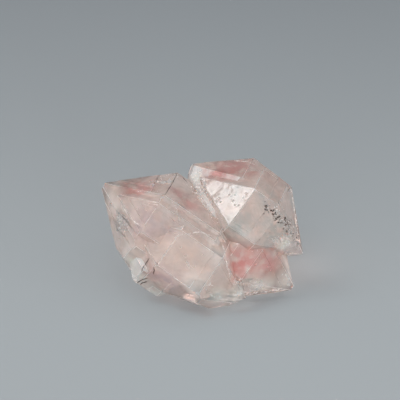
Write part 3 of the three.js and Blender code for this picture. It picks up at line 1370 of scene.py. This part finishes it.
@dataclass
class PaperSweep:
    """One sheet of seamless paper, lying flat and rising in a curve far behind."""

    side_m: float = 3.0
    rise_radius_m: float = 0.8
    rise_deg: float = 80.0
    rise_steps: int = 12
    finish: SeamlessPaper = SeamlessPaper()

    def build(self) -> None:
        """Models and dresses the sheet."""
        bpy.ops.object.select_all(action="DESELECT")
        bpy.ops.mesh.primitive_plane_add(size=self.side_m, location=(0, 0, 0))
        sheet = bpy.context.object
        sheet.name = "paper_sweep"
        pick_nothing(sheet)
        back = self.side_m / 2
        for edge in sheet.data.edges:
            ends = [sheet.data.vertices[v].co.y for v in edge.vertices]
            edge.select = min(ends) > 0.9 * back
        bpy.ops.object.mode_set(mode="EDIT")
        bpy.ops.mesh.spin(
            steps=self.rise_steps,
            angle=math.radians(self.rise_deg),
            center=(0, back, self.rise_radius_m),
            axis=(1, 0, 0),
        )
        bpy.ops.object.mode_set(mode="OBJECT")
        bpy.ops.object.shade_smooth()
        sheet.data.materials.append(self.finish.material())


@dataclass(frozen=True)
class Softbox:
    """A square softbox.

    Attributes:
        name: What it is for.
        at: What it shines at as seen, right, up and near, in millimetres.
        way: The way from there to the softbox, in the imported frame.
        away_mm: How far off it stands.
        size_mm: The length of its side.
        watts: Its power.
        edges_mm: How far its right and its lower edge, as seen from the cluster, are from that
            way. With None, its middle is on it.
    """

    name: str
    at: tuple[float, float, float]
    way: tuple[float, float, float]
    away_mm: float
    size_mm: float
    watts: float
    edges_mm: tuple[float, float] | None = None

    def build(self) -> None:
        """Adds the softbox."""
        half = self.size_mm / 2
        right_edge, low_edge = self.edges_mm or (half, half)
        toward = Vector(self.way).normalized()
        side = Vector((0, 0, 1)).cross(toward).normalized()
        over = toward.cross(side)
        stand = toward * self.away_mm + over * (half - low_edge) + side * (half - right_edge)
        data = bpy.data.lights.new(self.name, "AREA")
        data.shape = "SQUARE"
        data.size = self.size_mm * MM
        data.energy = self.watts
        lamp = bpy.data.objects.new(self.name, data)
        lamp.location = seen_at(*self.at) + stand * MM
        lamp.rotation_euler = (-toward).to_track_quat("-Z", "Y").to_euler()
        bpy.context.scene.collection.objects.link(lamp)


BRIGHT_FACE = (4.1, 5.3, 3.0)  # the upper crystal's end face, which mirrors the key softbox
LOWER_RIGHT = (4.0, -5.0, 0.0)
SOFTBOXES = (
    Softbox("key_softbox", BRIGHT_FACE, (-0.756, -0.095, 0.646), 900.0, 440.0, 4.2, (9.0, 13.0)),
    Softbox("fill_softbox", BRIGHT_FACE, (-0.2, -0.93, 0.3), 900.0, 400.0, 0.4),
    Softbox("low_softbox", LOWER_RIGHT, (0.3, -0.9, 0.12), 300.0, 90.0, 0.14),
)


@dataclass
class Studio:
    """A pale floor that curves up into a backdrop, soft lights and the camera.

    Attributes:
        floor: The floor.
        softboxes: The lamps.
        even: The colour of the light all round.
        even_strength: Its strength.
        bounces: How many faces light may pass or be thrown back by.
        gaps: How many thin places it may also pass.
        frame_width_mm: How much the camera takes in at the cluster.
        sensor_mm: How wide its sensor is.
    """

    floor: PaperSweep = field(default_factory=PaperSweep)
    softboxes: tuple[Softbox, ...] = SOFTBOXES
    even: str = "C6CACD"
    even_strength: float = 1.27
    bounces: int = 20
    gaps: int = 32
    frame_width_mm: float = 58.0
    sensor_mm: float = 36.0

    def build(self) -> None:
        """Sets up the floor, the lights and the camera."""
        self.floor.build()
        for softbox in self.softboxes:
            softbox.build()
        self.even_light()
        self.camera()

    def even_light(self) -> None:
        """Adds even light all round, and lets light pass through many faces."""
        scene = bpy.context.scene
        scene.world = bpy.data.worlds.new("even_light")
        scene.world.use_nodes = True
        background = scene.world.node_tree.nodes["Background"]
        background.inputs["Color"].default_value = linear(self.even)
        background.inputs["Strength"].default_value = self.even_strength
        scene.view_settings.view_transform = "Standard"
        scene.cycles.transparent_max_bounces = self.gaps
        scene.cycles.max_bounces = self.bounces
        scene.cycles.transmission_bounces = self.bounces
        scene.cycles.glossy_bounces = self.bounces

    def camera(self) -> None:
        """Places the camera at the viewer's angle, aimed at the middle of the view."""
        data = bpy.data.cameras.new("camera")
        data.sensor_width = self.sensor_mm
        data.lens = self.sensor_mm * VIEWER_AWAY_MM / self.frame_width_mm
        data.dof.use_dof = False
        data.clip_start = 0.01
        data.clip_end = 20.0
        camera = bpy.data.objects.new("camera", data)
        camera.location = seen_at(0, VIEWER_LIFT_MM, VIEWER_AWAY_MM)
        camera.rotation_euler = FACING
        bpy.context.scene.collection.objects.link(camera)
        bpy.context.scene.camera = camera


def main() -> None:
    """Builds and dresses the cluster, then the studio round it."""
    crystals = CrystalBody().build()
    viewer = Viewer(crystals)
    kinds = (DarkFlakes, GasGapsAndPaintedGlints, WhiteVeils, HazeVeilsPaintedRosy, DarkCracks, SeamsAndPaintedHighlights)
    pieces = [kind().build(viewer) for kind in kinds]
    hand_in(crystals, CAD_NODE)
    for piece in pieces:
        hand_in(piece)
    Studio().build()


if __name__ == "__main__":
    main()
